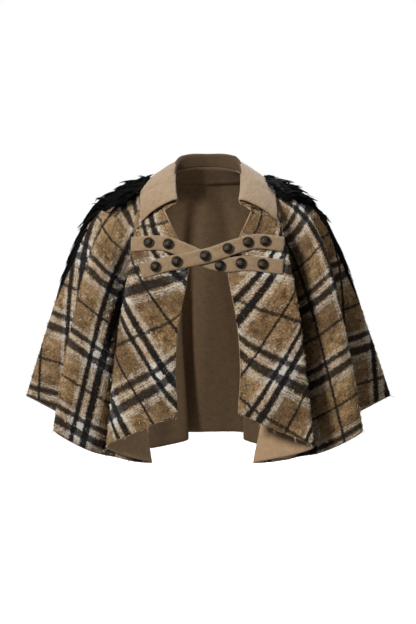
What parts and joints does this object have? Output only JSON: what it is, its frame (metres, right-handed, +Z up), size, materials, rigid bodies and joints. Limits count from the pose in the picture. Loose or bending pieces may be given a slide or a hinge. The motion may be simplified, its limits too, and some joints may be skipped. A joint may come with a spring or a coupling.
{
  "type": "cape",
  "caption": "Short open-front cape in checked coating with fluted sides, a turned-down felt collar, crossed buttoned straps and black shoulder fringes.",
  "frame": {"origin": "middle of the neck opening at the height where the shoulders carry the cape", "axes": "+Z up, -Y the way the wearer faces, so -X is the wearer's right side"},
  "size_m": [0.7094, 0.3463, 0.5994],
  "materials": {
    "check_cloth": "nubbly checked wool coating, plain camel on its inner face",
    "camel_felt": "smooth brushed felt",
    "button_metal": "antique, darkened",
    "fringe_yarn": "matt black yarn"
  },
  "bodies": {
    "root": {"front_right": "check_cloth", "front_left": "check_cloth", "side_right": "check_cloth", "side_left": "check_cloth", "back": "check_cloth", "collar": "camel_felt", "neck_facing": "camel_felt", "strap_over": "camel_felt", "strap_under": "camel_felt", "button_01": "button_metal", "button_02": "button_metal", "button_03": "button_metal", "button_04": "button_metal", "button_05": "button_metal", "button_06": "button_metal", "button_07": "button_metal", "button_08": "button_metal", "button_09": "button_metal", "button_10": "button_metal", "button_11": "button_metal", "fringe_right": "fringe_yarn", "fringe_left": "fringe_yarn"}
  },
  "joints": []
}
